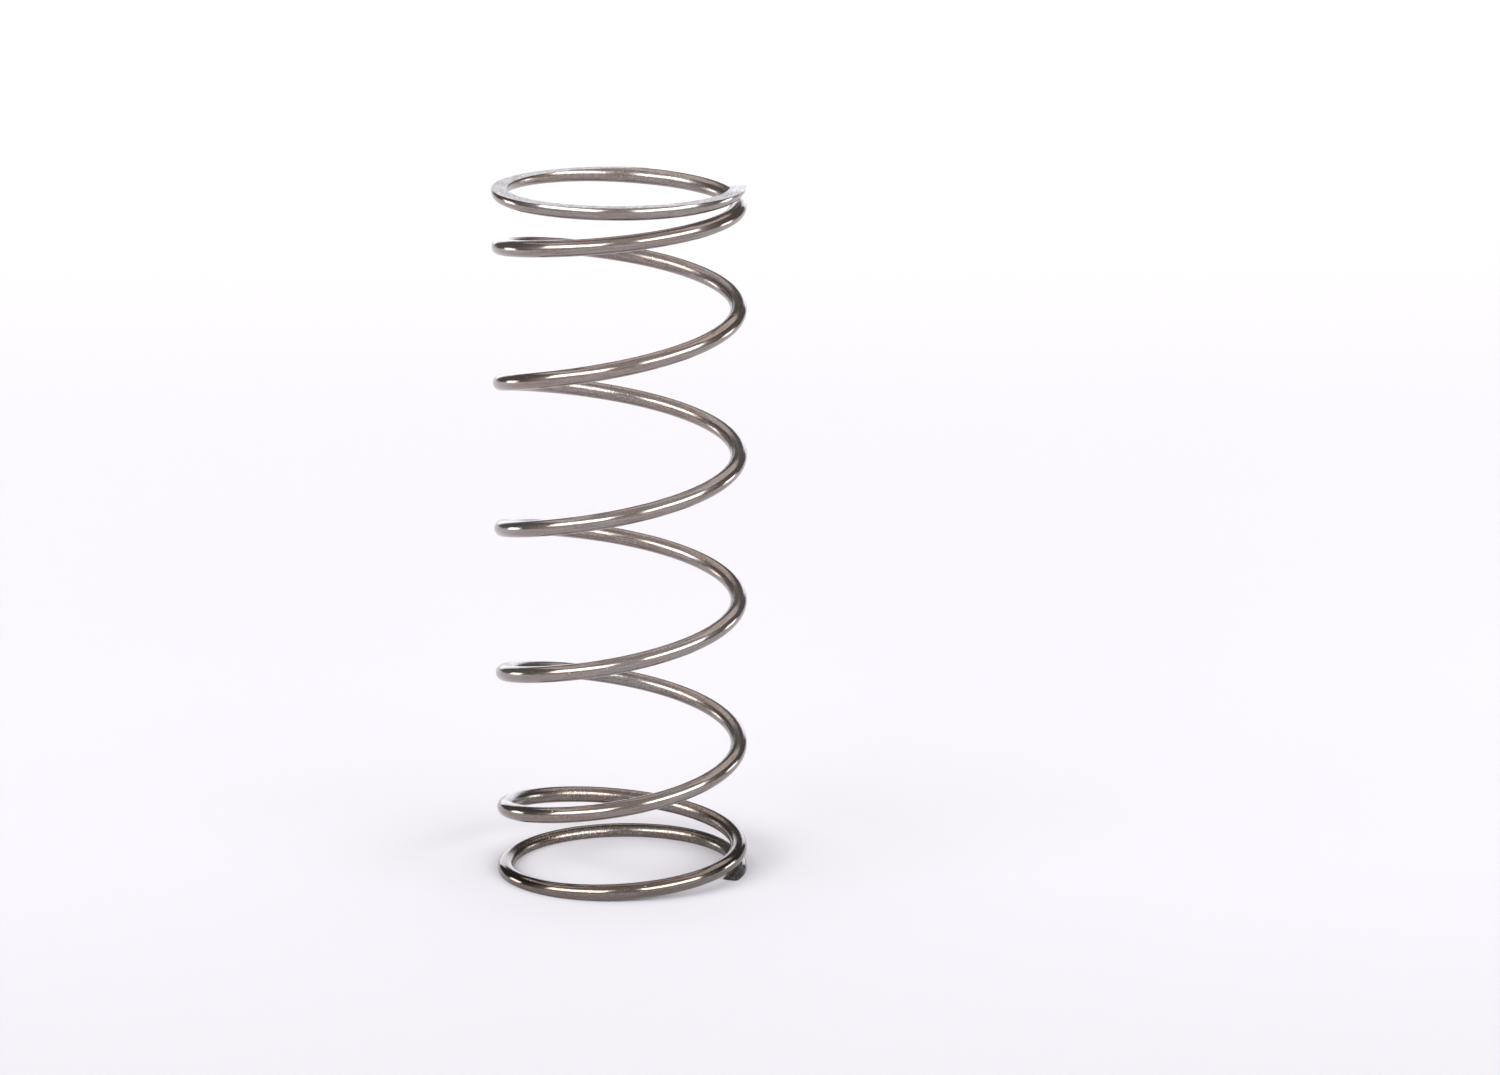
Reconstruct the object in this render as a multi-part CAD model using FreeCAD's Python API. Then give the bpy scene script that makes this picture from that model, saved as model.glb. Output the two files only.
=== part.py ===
"""Helical compression spring, right-hand wound from round wire, with closed and ground ends.

Frame: millimetres, +Z up along the coil axis, origin on the axis in the plane of the lower ground seat.
+X is to the right and -Y to the front. The wire starts at the lower tip and climbs counterclockwise, seen
from above. A place on the wire is a number of turns from the lower tip.

The spring is one length of wire. It is made here as the lower end coil, which stays on its seat, the
upper end coil, which travels with the load, and the active coils between them, cut by upright planes
through the axis into short arcs that each travel their own share of the stroke.
"""

import FreeCAD
import Part
import math
import os

# Driving dimensions, in millimetres, turns and degrees.
WIRE_DIAMETER = 2.8
MEAN_COIL_DIAMETER = 40.0
FREE_LENGTH = 118.4
STROKE = 90.0
LOWER_TIP_ANGLE = -23.0
TURNS = 7.0 + 26.6 / 360.0

# Each end coil leans a little to its seat. From the tip it climbs for a quarter turn, dips towards the half
# turn and climbs again, and from the first whole turn on the coils open evenly to the active pitch.
TIP_THICKNESS = 0.3 * WIRE_DIAMETER
END_PITCHES = [(0.0, 12.0), (0.25, -0.8), (0.5, -2.0), (0.75, 7.25), (1.0, 9.4)]
RAMP_END = 2.0

# The active coils close up, cut into arcs. What is left at each end bears on its seat and keeps its shape.
ACTIVE_COILS = 5
ARCS_PER_COIL = 8
CUT_WIDTH = 0.03
EASE_TURNS = 0.25

# Sections that a length of wire is drawn through, in each turn of it.
SECTIONS_PER_TURN = 48

WIRE_RADIUS = WIRE_DIAMETER / 2
COIL_RADIUS = MEAN_COIL_DIAMETER / 2
TIP_HEIGHT = TIP_THICKNESS - WIRE_RADIUS
TOTAL_RISE = FREE_LENGTH - 2 * TIP_HEIGHT
END_TURNS = (TURNS - ACTIVE_COILS) / 2
ARC_COUNT = ACTIVE_COILS * ARCS_PER_COIL
CUT_TURNS = CUT_WIDTH / (math.tau * COIL_RADIUS)


def pitch_line(end_share, active):
    """The pitch from tip to tip as (turn, pitch) points: end_share of the end pitches, and active."""
    lower_end = [(turn, end_share * value) for turn, value in END_PITCHES] + [(RAMP_END, active)]
    return lower_end + [(TURNS - turn, value) for turn, value in reversed(lower_end)]


def rise(line, upto):
    """How far the wire climbs from its lower tip: the area under the pitch line."""
    area = 0.0
    for (a, low), (b, high) in zip(line, line[1:]):
        end = min(upto, b)
        if end > a:
            at_end = low + (high - low) * (end - a) / (b - a)
            area += (low + at_end) / 2 * (end - a)
    return area


# The active pitch is what makes the free length come out.
ACTIVE_PITCH = (TOTAL_RISE - rise(pitch_line(1, 0), TURNS)) / rise(pitch_line(0, 1), TURNS)
FREE_PITCH = pitch_line(1, ACTIVE_PITCH)


def pitch(turn):
    """The free pitch at a place on the wire, in millimetres a turn."""
    for (a, low), (b, high) in zip(FREE_PITCH, FREE_PITCH[1:]):
        if turn <= b:
            break
    return low + (high - low) * (turn - a) / (b - a)


def height(turn):
    """The height of the wire's centre above the lower seat."""
    return TIP_HEIGHT + rise(FREE_PITCH, turn)


def ease(turn):
    """How freely the wire closes up: 0 on the end coils, rising evenly to 1 within EASE_TURNS of them."""
    from_end = min(turn, TURNS - turn) - END_TURNS
    return min(max(from_end / EASE_TURNS, 0.0), 1.0)


def closing(turn, least_pitch, steps=4000):
    """How far the wire sinks at a place when the active coils close up to least_pitch."""
    step = turn / steps
    middles = [(i + 0.5) * step for i in range(steps)]
    return sum(ease(t) * (pitch(t) - least_pitch) for t in middles) * step


# The closed-up pitch is what makes the stroke come out. closing() is a straight line in least_pitch.
CLOSED_UP_PITCH = (closing(TURNS, 0.0) - STROKE) / (closing(TURNS, 0.0) - closing(TURNS, 1.0))


def share(turn):
    """The share of the stroke that a place on the wire travels, from 0 at the lower end to 1 at the upper."""
    return closing(turn, CLOSED_UP_PITCH) / STROKE


def half_height(turn):
    """Half the wire's height where an upright plane through the axis cuts it, more where the wire climbs."""
    return WIRE_RADIUS / math.cos(math.atan2(pitch(turn), math.pi * MEAN_COIL_DIAMETER))


def least_gap(stroke):
    """The least upright gap between a coil and the next one up, at a place in the stroke."""
    places = [i / ARCS_PER_COIL for i in range(math.ceil((TURNS - 1) * ARCS_PER_COIL))]
    gaps = []
    for place in places:
        apart = height(place + 1) - height(place) - stroke * (share(place + 1) - share(place))
        gaps.append(apart - half_height(place) - half_height(place + 1))
    return min(gaps)


def arc_ends(number):
    """Where arc 0 to ARC_COUNT - 1 of the active coils starts and ends on the wire, in turns."""
    start = END_TURNS + number / ARCS_PER_COIL
    return start, start + 1 / ARCS_PER_COIL


def arc_name(number):
    return f"active_coil_{number // ARCS_PER_COIL + 1}_arc_{number % ARCS_PER_COIL + 1}"


def section(turn):
    """The wire's outline in the upright plane through the axis: an ellipse, taller where the wire climbs."""
    angle = math.radians(LOWER_TIP_ANGLE) + math.tau * turn
    outward = FreeCAD.Vector(math.cos(angle), math.sin(angle), 0)
    centre = outward * COIL_RADIUS + FreeCAD.Vector(0, 0, height(turn))
    top = centre + FreeCAD.Vector(0, 0, half_height(turn))
    return Part.Wire(Part.Ellipse(top, centre + outward * WIRE_RADIUS, centre).toShape())


def wire_between(start, end):
    """A solid length of wire, with flat ends in upright planes through the axis."""
    count = math.ceil((end - start) * SECTIONS_PER_TURN)
    places = [start + (end - start) * i / count for i in range(count + 1)]
    return Part.makeLoft([section(place) for place in places], True, False)


def between_seats(shape):
    """What is left of a shape when both ends of the spring are ground flat."""
    side = 2 * MEAN_COIL_DIAMETER
    room = Part.makeBox(side, side, FREE_LENGTH, FreeCAD.Vector(-side / 2, -side / 2, 0))
    return shape.common(room)


def lower_end_coil():
    return between_seats(wire_between(0.0, END_TURNS - CUT_TURNS / 2))


def upper_end_coil():
    return between_seats(wire_between(TURNS - END_TURNS + CUT_TURNS / 2, TURNS))


def active_arc(number):
    start, end = arc_ends(number)
    return wire_between(start + CUT_TURNS / 2, end - CUT_TURNS / 2)


def save(name, shape):
    solids = shape.Solids
    if len(solids) != 1 or not solids[0].isValid():
        raise ValueError(f"{name} is not one valid solid")
    solids[0].exportStep(f"parts/{name}.step")


def main():
    os.makedirs("parts", exist_ok=True)
    save("lower_end_coil", lower_end_coil())
    for number in range(ARC_COUNT):
        save(arc_name(number), active_arc(number))
    save("upper_end_coil", upper_end_coil())
    for number in range(ARC_COUNT):
        middle = sum(arc_ends(number)) / 2
        print(f"{arc_name(number)} travels {share(middle):.6f} of the stroke")
    print(f"gap between coils: {least_gap(0.0):.2f} mm free, {least_gap(STROKE):.2f} mm at the full stroke")


if __name__ == "__main__":
    main()
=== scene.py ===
"""Looks of the compression spring: one length of oil-tempered wire, with both ends ground flat.

Frame: metres, +Z up along the coil axis, the lower ground seat on the floor at Z 0, -Y to the front. A
place on the wire is a number of turns from the lower tip. Round the wire, an angle of 0 faces out and 90
degrees up.

The wire is drawn as one piece for each CAD node. The end coils are rigid.
"""

import math

import bpy
import numpy as np
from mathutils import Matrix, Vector


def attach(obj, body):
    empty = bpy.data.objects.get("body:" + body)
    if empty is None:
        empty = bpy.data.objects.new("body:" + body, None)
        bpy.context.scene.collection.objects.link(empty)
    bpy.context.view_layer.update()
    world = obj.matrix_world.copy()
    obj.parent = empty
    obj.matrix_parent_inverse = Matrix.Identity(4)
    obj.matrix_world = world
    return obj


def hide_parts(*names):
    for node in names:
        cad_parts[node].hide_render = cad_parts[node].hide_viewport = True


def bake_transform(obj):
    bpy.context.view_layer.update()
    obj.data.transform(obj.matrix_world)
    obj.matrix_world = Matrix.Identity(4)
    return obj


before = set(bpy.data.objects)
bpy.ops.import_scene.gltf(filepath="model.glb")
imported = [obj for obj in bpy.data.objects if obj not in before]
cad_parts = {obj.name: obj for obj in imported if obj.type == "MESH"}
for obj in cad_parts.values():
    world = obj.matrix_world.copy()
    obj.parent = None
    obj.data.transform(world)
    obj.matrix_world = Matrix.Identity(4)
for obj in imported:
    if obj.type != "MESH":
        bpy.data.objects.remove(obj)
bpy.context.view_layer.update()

MM = 0.001

# The spring, as in the part.
WIRE_DIAMETER = 2.8 * MM
MEAN_COIL_DIAMETER = 40.0 * MM
FREE_LENGTH = 118.4 * MM
LOWER_TIP_ANGLE = math.radians(-23.0)
TURNS = 7.0 + 26.6 / 360.0
TIP_THICKNESS = 0.3 * WIRE_DIAMETER
END_PITCHES = ((0.0, 12.0 * MM), (0.25, -0.8 * MM), (0.5, -2.0 * MM), (0.75, 7.25 * MM), (1.0, 9.4 * MM))
RAMP_END = 2.0
ACTIVE_COILS = 5
ARCS_PER_COIL = 8

WIRE_RADIUS = WIRE_DIAMETER / 2
COIL_RADIUS = MEAN_COIL_DIAMETER / 2
TIP_HEIGHT = TIP_THICKNESS - WIRE_RADIUS
TOTAL_RISE = FREE_LENGTH - 2 * TIP_HEIGHT
END_TURNS = (TURNS - ACTIVE_COILS) / 2
TURN_LENGTH = math.tau * COIL_RADIUS
WIRE_LENGTH = TURNS * TURN_LENGTH

# How finely the wire is drawn: rings of points along it, and points round each ring.
RINGS_PER_TURN = 320
POINTS_ROUND = 48

# The edges of a ground face: the steps of the points about them, how low on the wire they stay where it
# leaves the seat, and the small radius that grinding leaves.
CORNER_STEPS = np.radians([0.0, 1.2, 3.3])
LEAST_CORNER = math.radians(-75.0)
EDGE_RADIUS = 0.03 * MM

# The cut ends of the wire: a bevel, rings that shrink to the middle, and how uneven the cut is.
TIP_BEVEL = 0.2 * MM
TIP_RINGS = (0.88, 0.7, 0.45, 0.2)
TIP_ROUGHNESS = 0.012 * MM
TIP_SEEDS = {"lower": 3, "upper": 4}


def add_object(name, data):
    """A new object in the scene, at the origin."""
    added = bpy.data.objects.new(name, data)
    bpy.context.scene.collection.objects.link(added)
    return added


# ---------------------------------------------------------------- the wire's line


def pitch_line(end_share, active):
    """The pitch from tip to tip as turns and pitches: end_share of the end pitches, and active."""
    turns = np.array([turn for turn, _ in END_PITCHES] + [RAMP_END])
    pitches = np.array([end_share * value for _, value in END_PITCHES] + [active])
    return np.concatenate([turns, TURNS - turns[::-1]]), np.concatenate([pitches, pitches[::-1]])


def rise(line, upto):
    """How far the wire climbs from its lower tip: the area under the pitch line."""
    turns, pitches = line
    areas = np.diff(turns) * (pitches[1:] + pitches[:-1]) / 2
    before = np.concatenate([[0.0], np.cumsum(areas)])
    last = np.clip(np.searchsorted(turns, upto, side="right") - 1, 0, len(turns) - 2)
    beyond = upto - turns[last]
    return before[last] + beyond * (pitches[last] + np.interp(upto, turns, pitches)) / 2


# The active pitch is what makes the free length come out.
ACTIVE_PITCH = (TOTAL_RISE - rise(pitch_line(1, 0), TURNS)) / rise(pitch_line(0, 1), TURNS)
FREE_PITCH = pitch_line(1, ACTIVE_PITCH)


def angle_at(turn):
    """The angle about the coil axis of a place on the wire."""
    return LOWER_TIP_ANGLE + math.tau * turn


def height(turn):
    """The height of the wire's centre above the lower seat."""
    return TIP_HEIGHT + rise(FREE_PITCH, turn)


def half_height(turn):
    """Half the wire's height in the upright plane through the axis, more where the wire climbs."""
    return WIRE_RADIUS / np.cos(np.arctan2(np.interp(turn, *FREE_PITCH), TURN_LENGTH))


# ---------------------------------------------------------------- the wire's surface


def above(level):
    """A height kept above 0, with a small round edge where it would have gone below."""
    return (level + np.hypot(level, EDGE_RADIUS)) / 2


def outline(turn, round_angles, scale=1.0):
    """Points of the wire's outline at a turn, and how deep under the grinding each would have been."""
    out = COIL_RADIUS + scale * WIRE_RADIUS * np.cos(round_angles)
    up = height(turn) + scale * half_height(turn) * np.sin(round_angles)
    depth = np.maximum(-up, up - FREE_LENGTH)
    level = FREE_LENGTH - above(FREE_LENGTH - above(up))
    return np.stack([out * math.cos(angle_at(turn)), out * math.sin(angle_at(turn)), level], -1), depth


def lower_angles(turn):
    """Angles round the wire at a place on the lower end, close together at the edges of the ground face."""
    cut = math.asin(min(max(-height(turn) / half_height(turn), math.sin(LEAST_CORNER)), 0.99))
    widest = CORNER_STEPS[-1]
    round_part = np.linspace(cut + widest, math.pi - cut - widest, POINTS_ROUND)
    flat_part = np.linspace(math.pi - cut + widest, math.tau + cut - widest, POINTS_ROUND // 3)
    return np.concatenate(
        [
            cut + CORNER_STEPS[:-1],
            round_part,
            math.pi - cut - CORNER_STEPS[-2::-1],
            math.pi - cut + CORNER_STEPS[1:-1],
            flat_part,
            math.tau + cut - CORNER_STEPS[-2:0:-1],
        ]
    )


def ring_angles(turn, tip):
    """Angles round the wire at a turn, on the lower or upper end or, with no tip, on the active coils."""
    if tip == "lower":
        return lower_angles(turn)
    if tip == "upper":
        return -lower_angles(TURNS - turn)[::-1]
    return np.arange(POINTS_ROUND) * math.tau / POINTS_ROUND


def rings_between(start, stop, tip):
    """The rings of a length of wire as turn and scale, and which are on its cut end, rim first."""
    bevel = TIP_BEVEL / TURN_LENGTH
    first = start + bevel if tip == "lower" else start
    last = stop - bevel if tip == "upper" else stop
    turns = np.linspace(first, last, math.ceil((last - first) * RINGS_PER_TURN) + 1)
    rings = [(turn, 1.0) for turn in turns]
    if tip == "lower":
        on_end = [(start, scale) for scale in reversed(TIP_RINGS)]
        return on_end + rings, range(len(on_end))[::-1]
    if tip == "upper":
        on_end = [(stop, scale) for scale in TIP_RINGS]
        return rings + on_end, range(len(rings), len(rings) + len(on_end))
    return rings, range(0)


def wire_piece(name, start, stop, tip=None):
    """A closed length of wire. With a tip, lower or upper, it is an end coil with a ground face."""
    rings, tip_rows = rings_between(start, stop, tip)
    points, depths, places = [], [], []
    for turn, scale in rings:
        angles = ring_angles(turn, tip)
        ring, depth = outline(turn, angles, scale)
        points.append(ring)
        depths.append(depth)
        along = np.full(len(angles), turn * TURN_LENGTH)
        places.append(np.stack([along, WIRE_RADIUS * np.cos(angles), WIRE_RADIUS * np.sin(angles)], -1))
    points = np.array(points)
    roughen_tip(points, tip_rows, tip)

    count, around = points.shape[:2]
    faces = []
    for row in range(count - 1):
        for step in range(around):
            a, b = row * around + step, row * around + (step + 1) % around
            faces.append((a, b, b + around, a + around))
    faces.append(tuple(range(around))[::-1])
    faces.append(tuple(range((count - 1) * around, count * around)))
    mesh = bpy.data.meshes.new(name)
    mesh.from_pydata([tuple(point) for point in points.reshape(-1, 3)], [], faces)
    store(mesh, "wire_place", "FLOAT_VECTOR", "POINT", "vector", np.array(places))
    store(mesh, "cut_depth", "FLOAT", "POINT", "value", np.array(depths))
    joined_rows = [row for row, at in ((0, "lower"), (count - 1, "upper")) if tip != at]
    smooth_but_for(mesh, joined_rows, around)
    return add_object(name, mesh)


def roughen_tip(points, rows, tip):
    """Leaves the cut end uneven, as a cutter does. rows run inwards from its rim, which stays even."""
    if tip is None:
        return
    angle = angle_at(0.0 if tip == "lower" else TURNS)
    along = np.array([-math.sin(angle), math.cos(angle), 0.0])
    rng = np.random.default_rng(TIP_SEEDS[tip])
    for row in rows[1:]:
        points[row] += rng.normal(0.0, TIP_ROUGHNESS, (points.shape[1], 1)) * along


def store(mesh, name, kind, domain, field, values):
    """Gives each point or edge of a mesh a value under a name."""
    attribute = mesh.attributes.new(name, kind, domain)
    attribute.data.foreach_set(field, values.ravel())


def smooth_but_for(mesh, rows, around):
    """Shades the wire smooth, with a sharp edge round each flat end, whose rows of points are given."""
    mesh.shade_smooth()
    rims = set()
    for row in rows:
        first = row * around
        rims |= {frozenset((first + step, first + (step + 1) % around)) for step in range(around)}
    marks = np.array([frozenset(edge.vertices) in rims for edge in mesh.edges])
    store(mesh, "sharp_edge", "BOOLEAN", "EDGE", "value", marks)


# ---------------------------------------------------------------- shader nodes


def new_node(tree, kind, settings=None, **sockets):
    """Adds a node. Sockets take a value or another node's output, and underscores stand for spaces."""
    node = tree.nodes.new(kind)
    for name, value in (settings or {}).items():
        setattr(node, name, value)
    for name, value in sockets.items():
        put(tree, node.inputs[name.replace("_", " ")], value)
    return node


def put(tree, socket, value):
    """Gives a socket a value, or links another node's output to it."""
    if isinstance(value, bpy.types.NodeSocket):
        tree.links.new(value, socket)
    else:
        socket.default_value = value


def math_node(tree, operation, *values):
    """A number worked out from others."""
    node = new_node(tree, "ShaderNodeMath", {"operation": operation})
    for socket, value in zip(node.inputs, values):
        put(tree, socket, value)
    return node.outputs[0]


def noise(tree, place, scale, detail, turned=0.0):
    """Noise from 0 to 1, with scale grains a metre along each axis. turned is degrees about Z."""
    turn = new_node(tree, "ShaderNodeVectorRotate", {"rotation_type": "Z_AXIS"}, Vector=place)
    put(tree, turn.inputs["Angle"], math.radians(turned))
    stretch = new_node(tree, "ShaderNodeVectorMath", {"operation": "MULTIPLY"})
    put(tree, stretch.inputs[0], turn.outputs[0])
    put(tree, stretch.inputs[1], scale)
    grains = new_node(tree, "ShaderNodeTexNoise", Vector=stretch.outputs[0], Scale=1.0, Detail=detail)
    return grains.outputs["Fac"]


def graded(tree, value, low, high, to_low=0.0, to_high=1.0):
    """value carried smoothly from the range low to high on to the range to_low to to_high."""
    limits = {"From_Min": low, "From_Max": high, "To_Min": to_low, "To_Max": to_high}
    node = new_node(tree, "ShaderNodeMapRange", {"interpolation_type": "SMOOTHSTEP"}, Value=value, **limits)
    return node.outputs["Result"]


def mixed(tree, factor, first, second):
    """A colour between first and second."""
    node = new_node(tree, "ShaderNodeMix", {"data_type": "RGBA"})
    for socket, value in zip((node.inputs[0], node.inputs[6], node.inputs[7]), (factor, first, second)):
        put(tree, socket, value)
    return node.outputs[2]


def blended(tree, factor, first, second):
    """A number between first and second."""
    node = new_node(tree, "ShaderNodeMix", {"data_type": "FLOAT"})
    for socket, value in zip((node.inputs[0], node.inputs[2], node.inputs[3]), (factor, first, second)):
        put(tree, socket, value)
    return node.outputs[0]


# ---------------------------------------------------------------- steel

# Grains a metre on the skin: along the wire, outwards and upwards.
DRAWN_LINES = (260, 5600, 5600)
SKIN_GRAIN = (3800, 4600, 4600)
TEMPER_PATCHES = (70, 420, 420)
SPECKS = (1300, 2100, 2100)

# Grains a metre on the ground faces and the tips: along X, Y and Z.
GRIT_MARKS = (4000, 4000, 100)
BLOTCHES = (600, 600, 100)
SCRATCHES = (1300, 4200, 100)
TORN_METAL = (2600, 2600, 2600)
WANDER = (1500, 1500, 1500)

# The skin's tempered brown and grey, each at the foot of the spring and then further up, where it is paler.
BROWN = ((0.192, 0.152, 0.126, 1), (0.284, 0.235, 0.212, 1))
GREY = ((0.212, 0.185, 0.168, 1), (0.292, 0.262, 0.252, 1))
PALER_REACH = (0.6 * TURN_LENGTH, 2.6 * TURN_LENGTH)

# How far outside the wire's centre its skin starts to be coarser and is wholly so.
INNER_SIDE = (0.4 * MM, -0.9 * MM)

# The skin's drawn lines, grain and marks.
LINE_DARK = (0.075, 0.060, 0.052, 1)
GRAIN_LIGHT = (0.50, 0.46, 0.44, 1)
GRAIN_DARK = (0.055, 0.047, 0.043, 1)
BRUISE = (0.050, 0.043, 0.038, 1)
NICK = (0.66, 0.64, 0.62, 1)

# The ground faces, which are brightest by the upper tip.
GROUND = (0.68, 0.665, 0.70, 1)
GROUND_DULL = (0.47, 0.45, 0.46, 1)
GROUND_FRESH = (0.92, 0.92, 0.96, 1)
GROUND_PIT = (0.19, 0.175, 0.19, 1)
SCRATCH = (0.95, 0.95, 0.98, 1)
SCRATCH_DIRECTIONS = (24, 118)

# How deep under the grinding a face starts to show and is whole, and how far its edge wanders.
FACE_DEPTHS = (0.004 * MM, 0.02 * MM)
FACE_WANDER = 0.26 * MM

# How far from the end of the wire the fresh grinding and the mottled tips start to fade and are gone, and
# how far the tips' edges wander. The lower tip is darkened with painted shade for the contact shade under
# the coil above.
FRESH_REACH = (4.5 * MM, 8.0 * MM)
LOWER_TIP_REACH = (3.5 * MM, 6.0 * MM)
UPPER_TIP_REACH = (3.0 * MM, 5.0 * MM)
TIP_WANDER = 3.0 * MM

# The lower tip's very dark tone is painted shade, for the contact shade where it sits on the floor under
# the coil above; the upper tip's tone is its torn metal's own.
LOWER_TIP_PAINTED_SHADE = (0.066, 0.058, 0.060)
UPPER_TIP_SHADE = (0.30, 0.28, 0.28)

BUMP_DEPTH = 0.03 * MM
BUMP_STRENGTH = 0.7


def scaled(shade, factor):
    """A shade made lighter or darker, as a colour."""
    return *[factor * value for value in shade], 1


def drawn_wire(tree, place, along):
    """Colour, roughness, metal and height of the wire's skin, coarser on the inner side of the coils."""
    lines = noise(tree, place, DRAWN_LINES, 3.0)
    grain = noise(tree, place, SKIN_GRAIN, 3.0)
    patches = noise(tree, place, TEMPER_PATCHES, 2.0)
    specks = noise(tree, place, SPECKS, 4.0)
    outwards = new_node(tree, "ShaderNodeSeparateXYZ", Vector=place).outputs["Y"]
    inner = graded(tree, outwards, *INNER_SIDE)
    paler = graded(tree, along, *PALER_REACH)

    brown = mixed(tree, paler, *BROWN)
    grey = mixed(tree, paler, *GREY)
    colour = mixed(tree, graded(tree, patches, 0.40, 0.64), brown, grey)
    colour = mixed(tree, graded(tree, lines, 0.42, 0.72, 0.0, 0.42), colour, LINE_DARK)
    coarse = blended(tree, inner, 0.28, 0.62)
    light = math_node(tree, "MULTIPLY", graded(tree, grain, 0.54, 0.70), coarse)
    dark = math_node(tree, "MULTIPLY", graded(tree, grain, 0.46, 0.30), coarse)
    colour = mixed(tree, light, colour, GRAIN_LIGHT)
    colour = mixed(tree, dark, colour, GRAIN_DARK)
    colour = mixed(tree, graded(tree, specks, 0.66, 0.71, 0.0, 0.7), colour, BRUISE)
    nick = graded(tree, specks, 0.72, 0.75)
    colour = mixed(tree, nick, colour, NICK)

    outer_rough = graded(tree, patches, 0.3, 0.7, 0.09, 0.125)
    outer_rough = math_node(tree, "MULTIPLY_ADD", paler, 0.035, outer_rough)
    rough = blended(tree, inner, outer_rough, 0.22)
    rough = math_node(tree, "MULTIPLY_ADD", nick, 0.15, rough)
    level = math_node(tree, "MULTIPLY", grain, blended(tree, inner, 0.22, 0.75))
    level = math_node(tree, "MULTIPLY_ADD", lines, 0.12, level)
    level = math_node(tree, "MULTIPLY_ADD", nick, -0.5, level)
    return colour, rough, blended(tree, paler, 1.0, 0.88), level


def ground_face(tree, place, fresh):
    """Colour, roughness, metal and height of a ground face, with grit marks, and brighter if fresh."""
    grit = noise(tree, place, GRIT_MARKS, 4.0)
    scratches = [noise(tree, place, SCRATCHES, 2.0, turned) for turned in SCRATCH_DIRECTIONS]
    scratch = math_node(tree, "MAXIMUM", *scratches)
    blotches = noise(tree, place, BLOTCHES, 3.0)
    light = mixed(tree, graded(tree, blotches, 0.40, 0.62), GROUND, GROUND_DULL)
    light = mixed(tree, fresh, light, GROUND_FRESH)
    colour = mixed(tree, graded(tree, grit, 0.38, 0.58), GROUND_PIT, light)
    colour = mixed(tree, graded(tree, scratch, 0.57, 0.70, 0.0, 0.85), colour, SCRATCH)
    rough = graded(tree, grit, 0.35, 0.65, 0.62, 0.40)
    return colour, rough, 0.6, math_node(tree, "MULTIPLY_ADD", grit, 2.2, scratch)


def tip_end(tree, place, shade):
    """Colour, roughness, metal and height near a tip, mottled and torn by the cutter round the given shade,
    which at the lower tip is a painted shade.
    """
    torn = noise(tree, place, TORN_METAL, 4.0)
    colour = mixed(tree, graded(tree, torn, 0.36, 0.56), scaled(shade, 0.28), scaled(shade, 1.0))
    colour = mixed(tree, graded(tree, torn, 0.58, 0.70), colour, scaled(shade, 2.2))
    return colour, graded(tree, torn, 0.3, 0.7, 0.6, 0.38), 0.9, math_node(tree, "MULTIPLY", torn, 3.2)


def overlaid(tree, factor, below, above_it):
    """One surface over another, each given as colour, roughness, metal and height."""
    colour = mixed(tree, factor, below[0], above_it[0])
    return colour, *[blended(tree, factor, first, second) for first, second in zip(below[1:], above_it[1:])]


def steel():
    """Oil-tempered spring wire: dark bronze-grey, drawn lengthwise, with bright ground faces."""
    material = bpy.data.materials.new("spring_steel")
    material.use_nodes = True
    tree = material.node_tree
    place = new_node(tree, "ShaderNodeAttribute", {"attribute_name": "wire_place"}).outputs["Vector"]
    depth = new_node(tree, "ShaderNodeAttribute", {"attribute_name": "cut_depth"}).outputs["Fac"]
    along = new_node(tree, "ShaderNodeSeparateXYZ", Vector=place).outputs["X"]
    point = new_node(tree, "ShaderNodeTexCoord").outputs["Object"]
    wander = math_node(tree, "SUBTRACT", noise(tree, point, WANDER, 4.0), 0.5)
    ragged = math_node(tree, "MULTIPLY_ADD", wander, TIP_WANDER, along)
    from_top = math_node(tree, "SUBTRACT", WIRE_LENGTH, ragged)

    surface = drawn_wire(tree, place, along)
    # Each tip's mottled metal; at the lower tip it is made very dark as painted shade.
    for distance, reach, shade in (
        (ragged, LOWER_TIP_REACH, LOWER_TIP_PAINTED_SHADE),
        (from_top, UPPER_TIP_REACH, UPPER_TIP_SHADE),
    ):
        mask = graded(tree, distance, reach[1], reach[0])
        surface = overlaid(tree, mask, surface, tip_end(tree, point, shade))
    fresh = graded(tree, along, WIRE_LENGTH - FRESH_REACH[1], WIRE_LENGTH - FRESH_REACH[0])
    edge = math_node(tree, "MULTIPLY_ADD", wander, FACE_WANDER, depth)
    surface = overlaid(tree, graded(tree, edge, *FACE_DEPTHS), surface, ground_face(tree, point, fresh))

    colour, rough, metal, level = surface
    bump = new_node(tree, "ShaderNodeBump", Strength=BUMP_STRENGTH, Distance=BUMP_DEPTH, Height=level)
    shader = tree.nodes["Principled BSDF"]
    put(tree, shader.inputs["Base Color"], colour)
    put(tree, shader.inputs["Roughness"], rough)
    put(tree, shader.inputs["Metallic"], metal)
    put(tree, shader.inputs["Normal"], bump.outputs["Normal"])
    return material


# ---------------------------------------------------------------- the spring

STEEL = steel()


def finish_piece(piece, node):
    """Makes a piece steel and lets it stand for its CAD node."""
    piece.data.materials.append(STEEL)
    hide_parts(node)


lower = wire_piece("lower_end_wire", 0.0, END_TURNS, "lower")
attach(lower, "lower_end")
finish_piece(lower, "lower_end_coil")

upper = wire_piece("upper_end_wire", TURNS - END_TURNS, TURNS, "upper")
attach(upper, "upper_end")
finish_piece(upper, "upper_end_coil")


for number in range(ACTIVE_COILS * ARCS_PER_COIL):
    start_turn = END_TURNS + number / ARCS_PER_COIL
    end_turn = start_turn + 1 / ARCS_PER_COIL
    label = f"coil_{number // ARCS_PER_COIL + 1}_arc_{number % ARCS_PER_COIL + 1}"
    arc = wire_piece(f"{label}_wire", start_turn, end_turn)
    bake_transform(arc)
    finish_piece(arc, f"active_{label}")

# ---------------------------------------------------------------- floor

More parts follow.
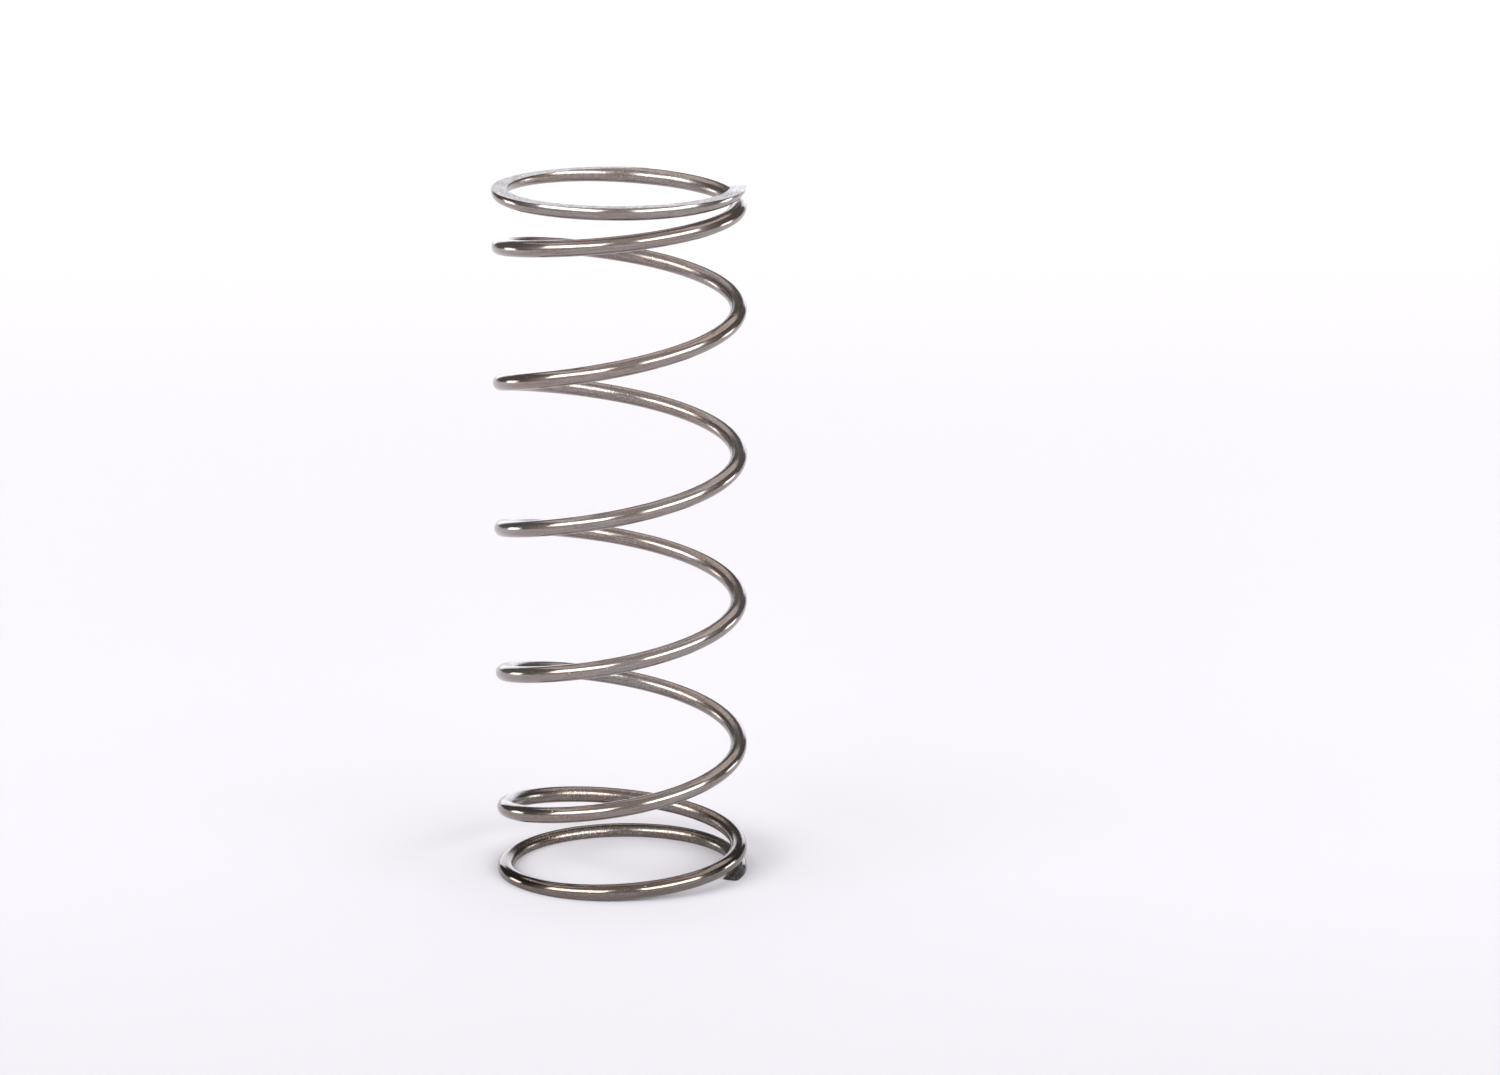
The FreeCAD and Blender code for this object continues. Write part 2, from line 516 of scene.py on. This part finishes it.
FLOOR_X = (-0.5, 0.5)
FLOOR_Y = (-1.2, 1.4)

# The floor's shades, painted shade darkening it towards the front and painted light brightening it towards
# the back, and the places along Y between which one turns into the next.
FLOOR_NEAR_PAINTED_SHADE = (0.50, 0.492, 0.530, 1)
FLOOR_MIDDLE = (0.62, 0.615, 0.66, 1)
FLOOR_FAR_PAINTED_LIGHT = (0.86, 0.86, 0.88, 1)
NEAR_TO_MIDDLE = (-0.26, 0.14)
MIDDLE_TO_FAR = (0.14, 1.0)


def pale_paper():
    """Pale paper, with painted shade that darkens it towards the front and painted light that brightens it
    towards the back.
    """
    material = bpy.data.materials.new("pale_paper")
    material.use_nodes = True
    tree = material.node_tree
    point = new_node(tree, "ShaderNodeTexCoord").outputs["Object"]
    back = new_node(tree, "ShaderNodeSeparateXYZ", Vector=point).outputs["Y"]
    # A painted falloff of light across the paper, darker in front and brighter behind.
    shade = mixed(tree, graded(tree, back, *NEAR_TO_MIDDLE), FLOOR_NEAR_PAINTED_SHADE, FLOOR_MIDDLE)
    shade = mixed(tree, graded(tree, back, *MIDDLE_TO_FAR), shade, FLOOR_FAR_PAINTED_LIGHT)
    put(tree, tree.nodes["Principled BSDF"].inputs["Base Color"], shade)
    put(tree, tree.nodes["Principled BSDF"].inputs["Roughness"], 0.85)
    return material


corners = [(FLOOR_X[i], FLOOR_Y[j], 0.0) for i, j in ((0, 0), (1, 0), (1, 1), (0, 1))]
floor = add_object("floor", bpy.data.meshes.new("floor"))
floor.data.from_pydata(corners, [], [(0, 1, 2, 3)])
floor.data.materials.append(pale_paper())

# ---------------------------------------------------------------- lights

MIDDLE = Vector((0, 0, FREE_LENGTH / 2))
WARM = (1.0, 0.92, 0.88)
COOL = (0.97, 0.96, 1.0)
BLUISH = (0.89, 0.92, 1.0)
SOFTBOX_DISTANCE = 2.2
CORE_DISTANCE = 2.19
GLINT_DISTANCE = 0.5
GLINT_HEIGHT = 0.05


def direction(azimuth, elevation):
    """Where an azimuth and elevation in degrees point. Azimuth 0 is to the front, and 90 to the right."""
    a, e = math.radians(azimuth), math.radians(elevation)
    return Vector((math.sin(a) * math.cos(e), -math.cos(a) * math.cos(e), math.sin(e)))


def lamp(name, place, towards, size, radiance, colour=(1, 1, 1)):
    """A rectangular lamp at a place, shining the given way. radiance is its brightness against white."""
    light = bpy.data.lights.new(name, "AREA")
    light.shape = "RECTANGLE"
    light.size, light.size_y = size
    light.energy = radiance * math.pi * size[0] * size[1]
    light.color = colour
    box = add_object(name, light)
    box.location = place
    box.rotation_euler = Vector(towards).to_track_quat("-Z", "Y").to_euler()
    box.visible_camera = False


# Each softbox is brightest at its core, a smaller lamp just in front of it.
for side, azimuth, elevation in (("left", -46, 27), ("right", 46.5, 23)):
    way = direction(azimuth, elevation)
    lamp(f"{side}_softbox", MIDDLE + SOFTBOX_DISTANCE * way, -way, (2.5, 1.3), 2.0)
    lamp(f"{side}_softbox_core", MIDDLE + CORE_DISTANCE * way, -way, (2.2, 0.8), 6.5)
lamp("overhead_diffuser", (0.3, 1.75, 3.3), (0, 0, -1), (7.0, 4.0), 1.2, WARM)
lamp("backdrop", (0, 4.0, 0.72), (0, -1, 0), (3.7, 1.44), 2.05, BLUISH)
lamp("far_sweep", (0, 2.7, 0.003), (0, 0, 1), (2.5, 2.6), 1.25, COOL)
for side, azimuth in (("left", -113), ("right", 113)):
    way = direction(azimuth, 0)
    lamp(f"{side}_glint", GLINT_DISTANCE * way + Vector((0, 0, GLINT_HEIGHT)), -way, (0.14, 0.10), 7.0)


def studio():
    """A room that is bright in front and dark behind. The camera itself sees white all round."""
    world = bpy.data.worlds.new("studio")
    world.use_nodes = True
    tree = world.node_tree
    ray = new_node(tree, "ShaderNodeTexCoord").outputs["Generated"]
    backwards = new_node(tree, "ShaderNodeSeparateXYZ", Vector=ray).outputs["Y"]
    room = graded(tree, backwards, -0.4, 0.3, 0.62, 0.07)
    seen = new_node(tree, "ShaderNodeLightPath").outputs["Is Camera Ray"]
    put(tree, tree.nodes["Background"].inputs["Strength"], math_node(tree, "MAXIMUM", room, seen))
    put(tree, tree.nodes["Background"].inputs["Color"], (1, 1, 1, 1))
    return world


bpy.context.scene.world = studio()

# ---------------------------------------------------------------- camera

CAMERA_PLACE = (21.92 * MM, -942.5 * MM, 278.4 * MM)
LOOKING_DOWN = math.radians(13.15)

camera = add_object("camera", bpy.data.cameras.new("camera"))
camera.data.lens = 137.04
camera.data.sensor_width = 36.0
camera.location = CAMERA_PLACE
camera.rotation_euler = (math.pi / 2 - LOOKING_DOWN, 0.0, 0.0)
bpy.context.scene.camera = camera
bpy.context.scene.view_settings.view_transform = "Standard"
